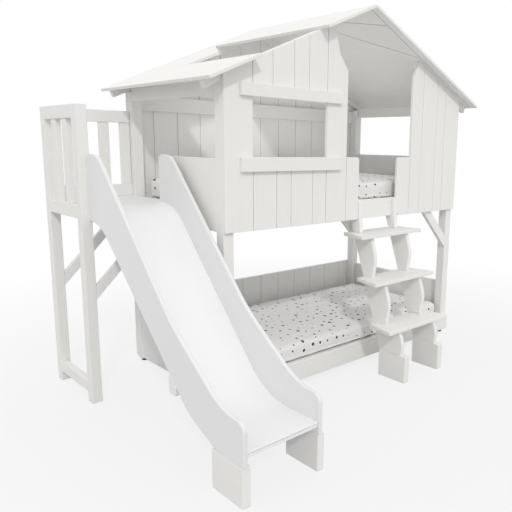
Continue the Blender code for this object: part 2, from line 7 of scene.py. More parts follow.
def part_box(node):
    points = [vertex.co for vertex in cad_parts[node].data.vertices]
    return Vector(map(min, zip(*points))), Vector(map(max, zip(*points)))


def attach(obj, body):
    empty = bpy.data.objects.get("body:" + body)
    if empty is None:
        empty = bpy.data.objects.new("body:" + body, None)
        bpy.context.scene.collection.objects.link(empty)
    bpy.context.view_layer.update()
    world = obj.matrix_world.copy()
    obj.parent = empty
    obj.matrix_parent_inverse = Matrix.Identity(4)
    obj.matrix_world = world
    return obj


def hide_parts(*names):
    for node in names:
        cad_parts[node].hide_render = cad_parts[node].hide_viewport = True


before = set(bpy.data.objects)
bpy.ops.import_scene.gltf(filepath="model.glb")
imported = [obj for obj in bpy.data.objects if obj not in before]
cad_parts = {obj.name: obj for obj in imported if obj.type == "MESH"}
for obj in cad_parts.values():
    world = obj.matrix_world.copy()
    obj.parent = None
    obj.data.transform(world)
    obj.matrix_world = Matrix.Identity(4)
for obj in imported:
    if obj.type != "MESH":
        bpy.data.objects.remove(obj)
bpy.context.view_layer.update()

# Every place below is read from the bed's front left corner: x along it, y to the back, z up.
# Lengths are in metres.
bedCorner = Vector((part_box("corner_board_left")[0].x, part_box("corner_board_left")[0].y, 0))
print("packed frame loaded:", len(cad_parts), "nodes")


# Modelling by hand

sanding = {  # how wide the edges are eased
    "sharpAngle": 28,  # degrees; flatter edges are left as they are
    "steps": 3,
    "board": 0.0025,
    "wallBoard": 0.0016,
    "bar": 0.003,
    "soft": 0.004,  # slats, feet blocks and the side guard's broad board
    "blockSteps": 4,
    "strip": 0.0006,
}


def clearSelection():
    bpy.ops.object.select_all(action="DESELECT")


def pick(piece):
    clearSelection()
    piece.select_set(True)
    bpy.context.view_layer.objects.active = piece


def applyModifiers(piece):
    pick(piece)
    for modifier in list(piece.modifiers):
        bpy.ops.object.modifier_apply(modifier=modifier.name)


def easeEdges(piece, width, steps=sanding["steps"]):  # sanded edges that catch a line of light
    pick(piece)
    bpy.ops.object.shade_smooth()
    bevel = piece.modifiers.new("sandedEdges", "BEVEL")
    bevel.width = width
    bevel.segments = steps
    bevel.angle_limit = radians(sanding["sharpAngle"])
    bevel.harden_normals = True
    applyModifiers(piece)


def block(name, low, high):  # a squared block between two corners
    low, high = bedCorner + Vector(low), bedCorner + Vector(high)
    clearSelection()
    bpy.ops.mesh.primitive_cube_add(size=1, location=(low + high) / 2)
    piece = bpy.context.active_object
    piece.name = name
    piece.scale = high - low
    bpy.ops.object.transform_apply(location=True, rotation=True, scale=True)
    return piece


def sawn(name, outline, depth):  # a board sawn to an outline of 3D points, then given its thickness
    clearSelection()
    bpy.ops.mesh.primitive_circle_add(vertices=len(outline), fill_type="NGON", location=(0, 0, 0))
    piece = bpy.context.active_object
    piece.name = name
    for vertex, point in zip(piece.data.vertices, outline):
        vertex.co = bedCorner + Vector(point)
    bpy.ops.object.mode_set(mode="EDIT")
    bpy.ops.mesh.select_all(action="SELECT")
    bpy.ops.mesh.extrude_region_move(TRANSFORM_OT_translate={"value": depth})
    bpy.ops.mesh.select_all(action="SELECT")
    bpy.ops.mesh.normals_make_consistent(inside=False)
    bpy.ops.object.mode_set(mode="OBJECT")
    return piece


def sideView(outline, x):  # (y, z) points as a standing outline at x
    return [(x, u, v) for u, v in outline]


def frontView(outline, y):  # (x, z) points as a standing outline at y
    return [(u, y, v) for u, v in outline]


def topView(outline, z):  # (x, y) points as a flat outline at z
    return [(u, v, z) for u, v in outline]


def roundCorners(corners, steps):  # (u, v, radius) corners: a radius turns a corner into an arc
    outline = []
    for index, (u, v, radius) in enumerate(corners):
        here = Vector((u, v))
        if not radius:
            outline.append(here)
            continue
        before = (Vector(corners[index - 1][:2]) - here).normalized()
        after = (Vector(corners[(index + 1) % len(corners)][:2]) - here).normalized()
        half = before.angle(after) / 2
        centre = here + (before + after).normalized() * radius / sin(half)
        first = here + before * radius / tan(half) - centre
        last = here + after * radius / tan(half) - centre
        turn = first.angle_signed(last)
        for step in range(steps + 1):
            outline.append(centre + Matrix.Rotation(-turn * step / steps, 2) @ first)
    return outline


def between(start, end, share):
    return start + (end - start) * share


# Finishes


def newFinish(name, colour, roughness):
    finish = bpy.data.materials.new(name)
    finish.use_nodes = True
    tree = finish.node_tree
    shader = tree.nodes["Principled BSDF"]
    shader.inputs["Base Color"].default_value = (*colour, 1)
    shader.inputs["Roughness"].default_value = roughness
    return finish, tree, shader


def addNode(tree, kind, **values):
    node = tree.nodes.new(kind)
    for name, value in values.items():
        if name in node.inputs:
            node.inputs[name].default_value = value
        else:
            setattr(node, name, value)
    return node


def evenly(value):  # one number for all three axes or colours
    return (value, value, value)


def mapped(tree, scale, source="Object", start=(0, 0, 0), turn=(0, 0, 0)):
    place = addNode(tree, "ShaderNodeTexCoord")
    mapping = addNode(tree, "ShaderNodeMapping", Scale=scale, Location=start, Rotation=turn)
    tree.links.new(place.outputs[source], mapping.inputs["Vector"])
    return mapping.outputs["Vector"]


def noiseOf(tree, look, source="Object", start=(0, 0, 0)):  # look is (scale, detail, roughness)
    scale, detail, roughness = look
    if isinstance(scale, (int, float)):
        scale = evenly(scale)
    texture = addNode(tree, "ShaderNodeTexNoise", Scale=1.0, Detail=detail, Roughness=roughness)
    tree.links.new(mapped(tree, scale, source, start), texture.inputs["Vector"])
    return texture.outputs["Fac"]


def rampOf(tree, factor, stops):  # stops of (position, colour)
    ramp = addNode(tree, "ShaderNodeValToRGB")
    elements = ramp.color_ramp.elements
    for element, (position, colour) in zip(elements, (stops[0], stops[-1])):
        element.position = position
        element.color = (*colour, 1)
    for position, colour in stops[1:-1]:
        elements.new(position).color = (*colour, 1)
    tree.links.new(factor, ramp.inputs["Fac"])
    return ramp.outputs["Color"]


def mixOf(tree, factor, first, second):  # each colour is a tuple or another node's output
    mix = addNode(tree, "ShaderNodeMix", data_type="RGBA")
    tree.links.new(factor, mix.inputs[0])
    for socket, value in zip(mix.inputs[6:8], (first, second)):  # its two colour sockets
        if isinstance(value, tuple):
            socket.default_value = (*value, 1)
        else:
            tree.links.new(value, socket)
    return mix.outputs[2]


def rangeOf(tree, value, low, high):
    spread = addNode(tree, "ShaderNodeMapRange")
    spread.inputs["To Min"].default_value = low
    spread.inputs["To Max"].default_value = high
    tree.links.new(value, spread.inputs["Value"])
    return spread.outputs["Result"]


def bumpOf(tree, shader, layers):  # layers of (height, (strength, depth))
    normal = None
    for height, (strength, depth) in layers:
        bump = addNode(tree, "ShaderNodeBump", Strength=strength, Distance=depth)
        tree.links.new(height, bump.inputs["Height"])
        if normal:
            tree.links.new(normal, bump.inputs["Normal"])
        normal = bump.outputs["Normal"]
    tree.links.new(normal, shader.inputs["Normal"])


paint = {
    "colour": (0.855, 0.852, 0.838),
    "thin": (0.825, 0.818, 0.80),  # where the wood's grain shows through the paint
    "grainShows": ((0.30, 1.0), (0.46, 0.25), (0.60, 0.0)),
    "warm": (0.842, 0.831, 0.806),
    "warmShare": 0.55,
    "roughness": (0.46, 0.60),
    "specular": 0.2,
    "grainAcross": 70.0,  # fibres for each metre
    "grainAlong": 2.2,
    "grainShift": (3.7, 2.59, 4.81),  # from one pattern to the other
    "grain": (5.0, 0.62),  # detail and roughness of the noise
    "brushFiner": 3.2,
    "brush": (2.0, 0.5),
    "cloud": (1.6, 2.0, 0.5),  # scale, detail and roughness
    "grainBump": (0.17, 0.0012),  # strength and depth
    "brushBump": (0.12, 0.0005),
}


def paintedWood(grain, number):  # white satin paint brushed over timber, its grain along one axis
    name = f"whitePaint{grain}{number}"
    finish, tree, shader = newFinish(name, paint["colour"], paint["roughness"][0])
    shader.inputs["Specular IOR Level"].default_value = paint["specular"]
    stretch = [paint["grainAcross"]] * 3
    stretch["XYZ".index(grain)] = paint["grainAlong"]
    start = [v * number for v in paint["grainShift"]]
    fibres = noiseOf(tree, (stretch, *paint["grain"]), start=start)
    strokes = noiseOf(tree, ([v * paint["brushFiner"] for v in stretch], *paint["brush"]))
    cloud = noiseOf(tree, paint["cloud"])
    worn = rampOf(tree, fibres, [(at, evenly(grey)) for at, grey in paint["grainShows"]])
    shade = mixOf(tree, worn, paint["colour"], paint["thin"])
    warm = mixOf(tree, rangeOf(tree, cloud, 0.0, paint["warmShare"]), shade, paint["warm"])
    tree.links.new(warm, shader.inputs["Base Color"])
    tree.links.new(rangeOf(tree, strokes, *paint["roughness"]), shader.inputs["Roughness"])
    bumpOf(tree, shader, [(fibres, paint["grainBump"]), (strokes, paint["brushBump"])])
    return finish


lacquer = {
    "chute": (0.872, 0.878, 0.882),
    # darker than the chute: partly the sides' own greyer finish, partly painted shade on the side faces
    "side": (0.805, 0.808, 0.811),
    "clouded": 0.977,
    "cloud": (2.0, 3.0, 0.5),  # scale, detail and roughness of each noise
    "roughness": (0.30, 0.38),
    "scuffs": (7.0, 4.0, 0.6),
    "peel": (180.0, 1.0, 0.5),
    "peelBump": (0.03, 0.0002),  # strength and depth
    "coat": 0.15,
    "coatRoughness": 0.2,
}


def slideLacquer(name, place):  # the sides' lacquer is a darker copy of the sliding face's: partly the sides' own greyer finish, partly painted shade for their faces turned from the light
    finish, tree, shader = newFinish(name, lacquer[place], lacquer["roughness"][0])
    cloud = noiseOf(tree, lacquer["cloud"])
    clouded = tuple(v * lacquer["clouded"] for v in lacquer[place])
    tree.links.new(mixOf(tree, cloud, lacquer[place], clouded), shader.inputs["Base Color"])
    scuffs = noiseOf(tree, lacquer["scuffs"])
    tree.links.new(rangeOf(tree, scuffs, *lacquer["roughness"]), shader.inputs["Roughness"])
    bumpOf(tree, shader, [(noiseOf(tree, lacquer["peel"]), lacquer["peelBump"])])
    shader.inputs["Coat Weight"].default_value = lacquer["coat"]
    shader.inputs["Coat Roughness"].default_value = lacquer["coatRoughness"]
    return finish


cotton = {
    "colour": (0.83, 0.82, 0.81),
    "shade": (0.79, 0.785, 0.78),
    "shades": (9.0, 3.0, 0.5),  # scale, detail and roughness of each noise
    "roughness": 0.88,
    "spot": (0.016, 0.016, 0.019),
    "spotsPerMetre": 13.5,
    "spotScatter": 0.72,
    "spotSizes": (0.0675, 0.2025),  # shares of the distance between spots
    "ragged": (160.0, 1.0, 0.5),
    "raggedShare": 0.06,
    "threadScale": 80.0,
    "threadWaver": 0.6,
    "threadBump": (0.10, 0.0003),  # strength and depth
    "creases": ((26, 14, 20), 4.0, 0.6),
    "creaseBump": (0.30, 0.006),
    "sheen": 0.25,
    "sheenRoughness": 0.5,
}


def sheetCotton():  # white cotton with small scattered spots, on the sheet's UV map in metres
    finish, tree, shader = newFinish("spottedCotton", cotton["colour"], cotton["roughness"])
    spots = addNode(tree, "ShaderNodeTexVoronoi", voronoi_dimensions="2D", Scale=1.0)
    spots.inputs["Randomness"].default_value = cotton["spotScatter"]
    tree.links.new(mapped(tree, evenly(cotton["spotsPerMetre"]), "UV"), spots.inputs["Vector"])
    kind = addNode(tree, "ShaderNodeSeparateColor")
    tree.links.new(spots.outputs["Color"], kind.inputs["Color"])
    radius = rangeOf(tree, kind.outputs[0], *cotton["spotSizes"])
    wobble = addNode(tree, "ShaderNodeMath", operation="MULTIPLY_ADD")
    wobble.inputs[1].default_value = cotton["raggedShare"]
    tree.links.new(noiseOf(tree, cotton["ragged"], "UV"), wobble.inputs[0])
    tree.links.new(spots.outputs["Distance"], wobble.inputs[2])
    inside = addNode(tree, "ShaderNodeMath", operation="LESS_THAN")
    tree.links.new(wobble.outputs[0], inside.inputs[0])
    tree.links.new(radius, inside.inputs[1])
    ground = mixOf(tree, noiseOf(tree, cotton["shades"], "UV"), cotton["colour"], cotton["shade"])
    colour = mixOf(tree, inside.outputs[0], ground, cotton["spot"])
    tree.links.new(colour, shader.inputs["Base Color"])
    weave = addNode(tree, "ShaderNodeMath", operation="ADD")
    for socket, turn in zip(weave.inputs, (0, pi / 2)):
        wave = addNode(tree, "ShaderNodeTexWave", Scale=cotton["threadScale"])
        wave.inputs["Distortion"].default_value = cotton["threadWaver"]
        turned = mapped(tree, evenly(1), "UV", turn=(0, 0, turn))
        tree.links.new(turned, wave.inputs["Vector"])
        tree.links.new(wave.outputs["Fac"], socket)
    creases = noiseOf(tree, cotton["creases"], "UV")
    bumpOf(tree, shader, [(creases, cotton["creaseBump"]), (weave.outputs[0], cotton["threadBump"])])
    shader.inputs["Sheen Weight"].default_value = cotton["sheen"]
    shader.inputs["Sheen Roughness"].default_value = cotton["sheenRoughness"]
    return finish


plastic = {
    "colour": (0.02, 0.02, 0.021),
    "dark": (0.018, 0.018, 0.019),
    "pale": (0.035, 0.034, 0.034),
    "roughness": (0.45, 0.65),
    "grain": (300.0, 2.0, 0.5),  # scale, detail and roughness
    "grainBump": (0.2, 0.0004),  # strength and depth
}


def blackPlastic():
    roughness = between(*plastic["roughness"], 0.5)
    finish, tree, shader = newFinish("glidePlastic", plastic["colour"], roughness)
    grain = noiseOf(tree, plastic["grain"])
    tree.links.new(mixOf(tree, grain, plastic["dark"], plastic["pale"]), shader.inputs["Base Color"])
    tree.links.new(rangeOf(tree, grain, *plastic["roughness"]), shader.inputs["Roughness"])
    bumpOf(tree, shader, [(grain, plastic["grainBump"])])
    return finish


woodPatterns = (1, 2)  # boards take them in turn, so that neighbours differ
finishes = {f"wood{grain}{n}": paintedWood(grain, n) for grain in "XYZ" for n in woodPatterns}
finishes["slide"] = slideLacquer("slideLacquer", "chute")
# the sides take the darker copy of the lacquer, which paints in part the shade on their faces
finishes["slideSide"] = slideLacquer("slideSideGreyAndPaintedShade", "side")
finishes["cotton"] = sheetCotton()
finishes["black"] = blackPlastic()
print("finishes made:", len(finishes))

pieceCount = 0


# Gives a finished piece its finish and its body, and hides the CAD nodes it stands for.
def settle(piece, finish, *nodes):
    global pieceCount
    pieceCount += 1
    if finish in ("X", "Y", "Z"):
        finish = f"wood{finish}{woodPatterns[pieceCount % len(woodPatterns)]}"
    piece.data.materials.clear()
    piece.data.materials.append(finishes[finish])
    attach(piece, "root")
    if nodes:
        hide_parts(*nodes)
    return piece


def plank(name, low, high, grain, *nodes, ease=sanding["board"], steps=sanding["steps"]):
    piece = block(name, low, high)
    easeEdges(piece, ease, steps)
    return settle(piece, grain, *nodes)


def boardCut(name, outline, depth, grain, *nodes, ease=sanding["board"], steps=sanding["steps"]):
    piece = sawn(name, outline, depth)
    easeEdges(piece, ease, steps)
    return settle(piece, grain, *nodes)


def nodeSpans(node):  # a CAD node's corners, read from the bed's corner
    low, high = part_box(node)
    return low - bedCorner, high - bedCorner


# House sizes

house = {
    "length": 2.12,
    "depth": 1.083,
    "board": 0.020,
    "fit": 0.0003,  # between pieces that touch
    "floor": 0.9955,  # lower edge of the upper bunk's walls
    "guard": 1.393,
    "header": 1.708,
    "joint": 0.0012,
    "groove": 0.0036,  # a seam with a tongue behind it
    "openJoint": 0.0035,
}
roof = {
    "ridgeX": 1.06,
    "slopeShare": 0.43886,  # the slope's fall for each metre across
    "eave": 0.134,
    "front": -0.076,
    "back": 1.137,
    "thick": 0.018,
    "ridge": 2.305,
}
roof["angle"] = atan(roof["slopeShare"])
roof["slope"] = (roof["ridgeX"] + roof["eave"]) / cos(roof["angle"])
postFront = house["board"] + house["fit"]
postBack = house["depth"] - postFront


def roofUnder(x):
    drop = roof["slopeShare"] * abs(x - roof["ridgeX"])
    return roof["ridge"] - drop - (roof["thick"] + house["fit"]) / cos(roof["angle"])


def roofLine(left, right):  # the underside of the roof from right to left
    turn = [roof["ridgeX"]] if left < roof["ridgeX"] < right else []
    return [(x, roofUnder(x)) for x in (right, *turn, left)]


def levelLine(left, right, height):
    return [(right, height), (left, height)]


def lineHeight(line, x):
    for (right, rightHeight), (left, leftHeight) in zip(line, line[1:]):
        if left <= x <= right:
            return between(leftHeight, rightHeight, (x - left) / (right - left))
    return line[-1][1] if x < line[-1][0] else line[0][1]


# Walls

standing = {
    "uneven": 0.0007,  # the most that a board stands back from its neighbours
    "scatter": 12.9898,  # mixes up the offsets
    "tongueReach": 0.004,  # a tongue joins each board to the next
    "tongueBack": 0.0072,
    "tongueEnd": 0.004,
}


def unevenness(number):  # the same small offset on each run, for boards set by hand
    return standing["uneven"] * (0.5 + 0.5 * sin(number * standing["scatter"]))


# A wall of single boards, each cut to the wall's top line.
def standingBoards(name, node, edges, foot, line, face, joint=0):
    for number, (left, right) in enumerate(zip(edges, edges[1:]), 1):
        left += joint / 2 if number > 1 else 0
        right -= joint / 2 if number < len(edges) - 1 else 0
        tops = [point for point in line if left < point[0] < right]
        outline = [(left, foot), (right, foot), (right, lineHeight(line, right)), *tops]
        outline.append((left, lineHeight(line, left)))
        inset = unevenness(number)
        points, depth = frontView(outline, face[0] + inset), (0, face[1] - face[0] - inset, 0)
        boardCut(f"{name}_{number}", points, depth, "Z", node, ease=sanding["wallBoard"])
        if joint == house["groove"] and number > 1:
            seam = left - joint / 2
            reach, back, end = [standing[word] for word in ("tongueReach", "tongueBack", "tongueEnd")]
            low = (seam - reach, face[0] + back, foot + end)
            top = min(lineHeight(line, low[0]), lineHeight(line, seam + reach))
            high = (seam + reach, face[1] - back, top - end)
            place = f"{name}_tongue_{number - 1}"
            plank(place, low, high, "Z", node, ease=sanding["strip"], steps=1)


def seamsAt(left, right, shares):
    return [left, *[between(left, right, share) for share in shares], right]


frontWall = {
    "cornerRight": 0.183,  # the seams between the wall's fields, from the left
    "tallLeft": 0.731,
    "tallRight": 0.906,
    "rightLeft": 1.5495,
    "windowShares": (0.297, 0.492, 0.801),
    "gableShares": (0.247, 0.530, 0.735),
    "rightShares": (0.209, 0.506, 0.690),
    "tallCutFrom": 0.782,  # where the tall board's cut leaves the roof line
    "tallShoulder": (0.832, 1.998),
    "tallLowTop": 1.905,
    "rightCutFrom": 1.615,
    "rightLowTop": 1.930,
}


def makeFrontWall():
    face, half = (0, house["board"]), house["groove"] / 2
    floor, groove, wall = house["floor"], house["groove"], frontWall
    edges = [0, wall["cornerRight"] - half]
    line = roofLine(0, wall["cornerRight"])
    standingBoards("corner_board", "corner_board_left", edges, floor, line, face)

    window = (wall["cornerRight"] + half, wall["tallLeft"] - half)
    edges = seamsAt(*window, wall["windowShares"])
    line = levelLine(*window, house["guard"])
    standingBoards("window_board", "window_boards", edges, floor, line, face, groove)

    edges = seamsAt(*window, wall["gableShares"])
    line = roofLine(*window)
    standingBoards("gable_board", "gable_boards", edges, house["header"], line, face, groove)

    edges = [wall["tallLeft"] + half, wall["tallRight"] - half]
    line = [(edges[1], wall["tallLowTop"]), wall["tallShoulder"]]
    line += roofLine(edges[0], wall["tallCutFrom"])
    standingBoards("tall_board", "tall_board_left", edges, floor, line, face)

    edges = seamsAt(wall["rightLeft"] + half, house["length"], wall["rightShares"])
    line = [*roofLine(wall["rightCutFrom"], edges[-1]), (edges[0], wall["rightLowTop"])]
    standingBoards("right_board", "right_wall_boards", edges, floor, line, face, groove)


entrance = {
    "left": 1.024,
    "right": 1.410,
    "radius": 0.022,  # of the two boards' upper corners
    "arcSteps": 10,
    "toeCut": (0.030, 0.036),
}


def makeGuardBoards():
    half, floor, guard = house["groove"] / 2, house["floor"], house["guard"]
    left, right = frontWall["tallRight"] + half, frontWall["rightLeft"] - half
    entryLeft, entryRight, radius = entrance["left"], entrance["right"], entrance["radius"]
    cutAcross, cutUp = entrance["toeCut"]
    outlines = {
        "left": [(left, floor, 0), (entryLeft, floor, 0), (entryLeft, guard, radius), (left, guard, 0)],
        "right": [
            (entryRight + cutAcross, floor, 0),
            (right, floor, 0),
            (right, guard, 0),
            (entryRight, guard, radius),
            (entryRight, floor + cutUp, 0),
        ],
    }
    depth = (0, house["board"], 0)
    for side, outline in outlines.items():
        points = frontView(roundCorners(outline, entrance["arcSteps"]), 0)
        boardCut(f"entry_board_{side}", points, depth, "Z", f"guard_board_{side}", ease=sanding["bar"])


backWall = {"boards": 12, "lowerFoot": 0.030, "lowerTop": 0.435}


def makeBackWall():
    count, length = backWall["boards"], house["length"]
    face = (house["depth"] - house["board"], house["depth"])
    edges = seamsAt(0, length, [n / count for n in range(1, count)])
    line, joint = roofLine(0, length), house["groove"]
    standingBoards("back_board", "back_wall_boards", edges, house["floor"], line, face, joint)
    line, joint = levelLine(0, length, backWall["lowerTop"]), house["openJoint"]
    foot = backWall["lowerFoot"]
    standingBoards("lower_back_board", "lower_back_boards", edges, foot, line, face, joint)


sideGuard = {"entry": 0.600, "lowTop": 1.120}  # where the way out to the deck starts, and its sill


def makeSideGuard():
    node = "side_guard_left"
    low, high = nodeSpans(node)
    entry, top = sideGuard["entry"], sideGuard["lowTop"]
    plank("side_guard_board", low, (high.x, entry, high.z), "Z", node, ease=sanding["soft"])
    plank("side_guard_low", (low.x, entry + house["joint"] / 2, low.z), (high.x, high.y, top), "Y", node)


# House frame

glide = {"radius": 0.023, "height": 0.018, "flare": 0.004, "facets": 32}


def makePosts():
    for row in ("front", "back"):
        for side in ("left", "right"):
            node = f"bed_post_{row}_{side}"
            low, high = nodeSpans(node)
            start = (low.x, low.y, glide["height"])
            plank(f"post_{row}_{side}", start, high, "Z", node, ease=sanding["bar"])
            middle = bedCorner + (low + high) / 2
            clearSelection()
            bpy.ops.mesh.primitive_cylinder_add(
                vertices=glide["facets"],
                radius=glide["radius"],
                depth=glide["height"],
                location=(middle.x, middle.y, glide["height"] / 2),
            )
            foot = bpy.context.active_object
            foot.name = f"glide_{row}_{side}"
            bpy.ops.object.transform_apply(location=True, rotation=True, scale=True)
            easeEdges(foot, glide["flare"])
            settle(foot, "black")


frameBars = {  # bars and beams that are whole blocks in the CAD model, with the run of their grain
    "header_left": "Y",
    "header_right": "Y",
    "back_wall_rail": "X",
    "upper_rail_front": "X",
    "lower_rail_front": "X",
    "window_sill": "X",
    "window_header": "X",
    "side_guard_right": "Y",
    "lower_panel_left": "Y",
    "lower_panel_right": "Y",
    "deck_beam_front": "X",
    "deck_beam_back": "X",
    "tower_foot_rail": "Y",
    "tower_post_front": "Z",
    "tower_post_back": "Z",
}


def makeFrameBars():
    for node, grain in frameBars.items():
        plank(f"{node}_board", *nodeSpans(node), grain, node, ease=sanding["bar"])


# Roof


def slopePoint(side, along, depth, y):
    x = side * (along * cos(roof["angle"]) - depth * sin(roof["angle"]))
    z = -along * sin(roof["angle"]) - depth * cos(roof["angle"])
    return Vector((roof["ridgeX"] + x, y, roof["ridge"] + z))


def slopeBox(front, back, high, low):  # a straight board's outline, from high to low on the slope
    return [(high, front), (low, front), (low, back), (high, back)]


# One board of a slope: the outline gives (distance from the ridge, y) along its underside.
def roofBoard(name, node, side, outline, grain="Y"):
    thick = roof["thick"]
    points = [slopePoint(side, along, thick, y) for along, y in outline]
    up = slopePoint(side, 0, 0, 0) - slopePoint(side, 0, thick, 0)
    boardCut(name, points, up, grain, node)


roofStart = roof["thick"] * roof["slopeShare"] + house["fit"]  # the boards' upper edge at the ridge
leftSlope = {
    "seams": (0.335, 0.540, 0.733),  # shares of the slope; the middle one is the skew board's turn
    "skews": (0.928, 0.607, 0.623),  # shares from front to back where the open bay ends there
}


def makeLeftSlope():
    front, back, slope, joint = roof["front"], roof["back"], roof["slope"], house["joint"]
    high, turn, low = [slope * share for share in leftSlope["seams"]]
    skewHigh, skewTurn, skewLow = [between(front, back, share) for share in leftSlope["skews"]]
    roofBoard("roof_left_upper", "roof_left", -1, slopeBox(front, back, roofStart, high))
    middle = [
        (high + joint, skewHigh),
        (turn, skewTurn),
        (low - joint, skewLow),
        (low - joint, back),
        (high + joint, back),
    ]
    roofBoard("roof_left_middle", "roof_left", -1, middle)
    roofBoard("roof_left_lower", "roof_left", -1, slopeBox(front, back, low, slope))


rightSlope = {
    "verge": 0.055,  # width of the front edge board
    "vergeJoint": 0.0025,  # half of the seam beside it
    "joint": 0.0045,
    "shortLow": 0.1925,  # the two slanting seams run from the front edge board to the ridge
    "shortTurn": 0.470,
    "seamLow": 0.4405,
    "seamTurn": 0.554,
    "tongueReach": 0.0065,
    "tongueEnd": 0.012,
    "tongueDepths": (0.0030, 0.0060),
}


def roofTongue(name, node, first, last):  # a thin strip in mid-thickness that closes a seam
    along = (Vector(last) - Vector(first)).normalized()
    across = Vector((-along.y, along.x)) * rightSlope["tongueReach"]
    end = along * rightSlope["tongueEnd"]
    first, last = Vector(first) + end, Vector(last) - end
    corners = [first - across, last - across, last + across, first + across]
    top, low = rightSlope["tongueDepths"]
    points = [slopePoint(1, u, low, v) for u, v in corners]
    up = slopePoint(1, 0, top, 0) - slopePoint(1, 0, low, 0)
    boardCut(name, points, up, "X", node, ease=sanding["strip"], steps=1)


def makeRightSlope():
    start, front, back, slope = roofStart, roof["front"], roof["back"], roof["slope"]
    verge, joint = front + rightSlope["verge"], rightSlope["vergeJoint"]
    outline = slopeBox(front, verge - joint, start, slope)
    roofBoard("roof_right_verge", "roof_right_edge", 1, outline, "X")
    edge, joint = verge + joint, rightSlope["joint"]
    shortLow, shortTurn = rightSlope["shortLow"], rightSlope["shortTurn"]
    seamLow = slope * rightSlope["seamLow"]
    seamTurn = between(front, back, rightSlope["seamTurn"])
    wedge = [(start, edge), (shortLow - joint, edge), (start, shortTurn - joint)]
    roofBoard("roof_right_wedge", "roof_right_upper", 1, wedge, "X")
    strip = [
        (shortLow + joint, edge),
        (seamLow - joint, edge),
        (start, seamTurn - joint),
        (start, shortTurn + joint),
    ]
    roofBoard("roof_right_strip", "roof_right_upper", 1, strip, "X")
    field = [
        (seamLow + joint, edge),
        (slope, edge),
        (slope, back),
        (start, back),
        (start, seamTurn + joint),
    ]
    roofBoard("roof_right_field", "roof_right_lower", 1, field)
    roofTongue("roof_right_tongue_1", "roof_right_edge", (start, verge), (slope, verge))
    roofTongue("roof_right_tongue_2", "roof_right_upper", (shortLow, edge), (start, shortTurn))
    roofTongue("roof_right_tongue_3", "roof_right_lower", (seamLow, edge), (start, seamTurn))


ridgeStrip = {"sunk": 0.0006, "clear": 0.002, "ease": 0.001}


def makeRidgeStrip():  # a slim filler in the groove between the slopes, level with their corners
    reach = roof["thick"] * roof["slopeShare"] * cos(roof["angle"])
    clear, middle = ridgeStrip["clear"], roof["ridgeX"]
    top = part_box("roof_left")[1].z - ridgeStrip["sunk"]
    low = roof["ridge"] - roof["thick"] / cos(roof["angle"]) + clear
    outline = [(middle - reach, top), (middle, low), (middle + reach, top)]
    points = frontView(outline, roof["front"] + clear)
    depth = (0, roof["back"] - roof["front"] - 2 * clear, 0)
    boardCut("ridge_strip", points, depth, "Y", ease=ridgeStrip["ease"])


rafter = {
    "depth": 0.045,
    "thick": 0.030,
    "tail": 0.014,  # from the eave to the rafter's end
    "frontStarts": {"left": 0.800, "right": 1.620},  # the short front ones start here, along the bed
}


def rafterOutline(side, start):
    top = roof["thick"] + house["fit"]
    low = top + rafter["depth"]
    tail = roof["slope"] - rafter["tail"]
    spots = ((start, top), (tail, top), (tail, low), (start, low))
    return [slopePoint(side, along, depth, 0).xz for along, depth in spots]


def makeRafters():
    depth, sides = (0, rafter["thick"], 0), {"left": -1, "right": 1}
    for word, side in sides.items():
        start = abs(rafter["frontStarts"][word] - roof["ridgeX"]) / cos(roof["angle"])
        points, node = frontView(rafterOutline(side, start), postFront), f"rafter_front_{word}"
        boardCut(f"{node}_board", points, depth, "X", node)
    low = roof["thick"] + house["fit"] + rafter["depth"]
    for word, side in sides.items():
        foot = rafterOutline(side, low * roof["slopeShare"])
        peak = (roof["ridgeX"] + side * house["joint"] / 2, roofUnder(roof["ridgeX"]))
        outline = [peak, *foot[1:3], (peak[0], foot[3][1])]
        points = frontView(outline, postBack - rafter["thick"])
        boardCut(f"rafter_back_{word}", points, depth, "X", "rafters_back")


# Bunks

base = {"bar": 0.060, "slats": 12, "slatWidth": 0.070, "slatThick": 0.020, "ledge": 0.022}


def makeBase(name, node):  # side bars, ledges inside them and slats lying on the ledges
    low, high = nodeSpans(node)
    pitch = (high.x - low.x) / base["slats"]
    front, back = low.y + base["bar"], high.y - base["bar"]
    slatLow, gap, ledge = high.z - base["slatThick"], house["fit"], base["ledge"]
    plank(f"{name}_bar_front", low, (high.x, front, high.z), "X", node)
    plank(f"{name}_bar_back", (low.x, back, low.z), high, "X", node)
    spot, end = (low.x, front + gap, low.z), (high.x, front + ledge, slatLow - gap)
    plank(f"{name}_ledge_front", spot, end, "X", node)
    spot, end = (low.x, back - ledge, low.z), (high.x, back - gap, slatLow - gap)
    plank(f"{name}_ledge_back", spot, end, "X", node)
    for number in range(base["slats"]):
        middle = low.x + (number + 0.5) * pitch
        spot = (middle - base["slatWidth"] / 2, front + gap, slatLow)
        end = (middle + base["slatWidth"] / 2, back - gap, high.z)
        plank(f"{name}_slat_{number + 1}", spot, end, "Y", node, ease=sanding["soft"])


braceFaces = {"bed": 0.092, "tower": 0.078}  # length of the cut against the post


def kneeBrace(name, node, way, face):  # a brace between a post and a beam, its ends cut to both
    low, high = nodeSpans(node)
    post, far = (low.x, high.x) if way > 0 else (high.x, low.x)
    outline = [(post, low.z), (far, high.z), (far - way * face, high.z), (post, low.z + face)]
    points, depth = frontView(outline, low.y), (0, high.y - low.y, 0)
    boardCut(name, points, depth, "Z", node, ease=sanding["bar"])


def makeBraces():
    for row in ("front", "back"):
        for place, way in (("bed", -1), ("tower", 1)):
            kneeBrace(f"{place}_knee_{row}", f"{place}_brace_{row}", way, braceFaces[place])


# Tower

towerGuards = {  # each is two rails with slats standing between them, along y or x
    "side": {"run": "Y", "slat": 0.060, "shares": (0.308, 0.692), "slatThick": 0.032},
    "back": {"run": "X", "slat": 0.063, "shares": (0.345, 0.634, 0.925), "slatThick": 0.020},
}
towerRail = 0.072


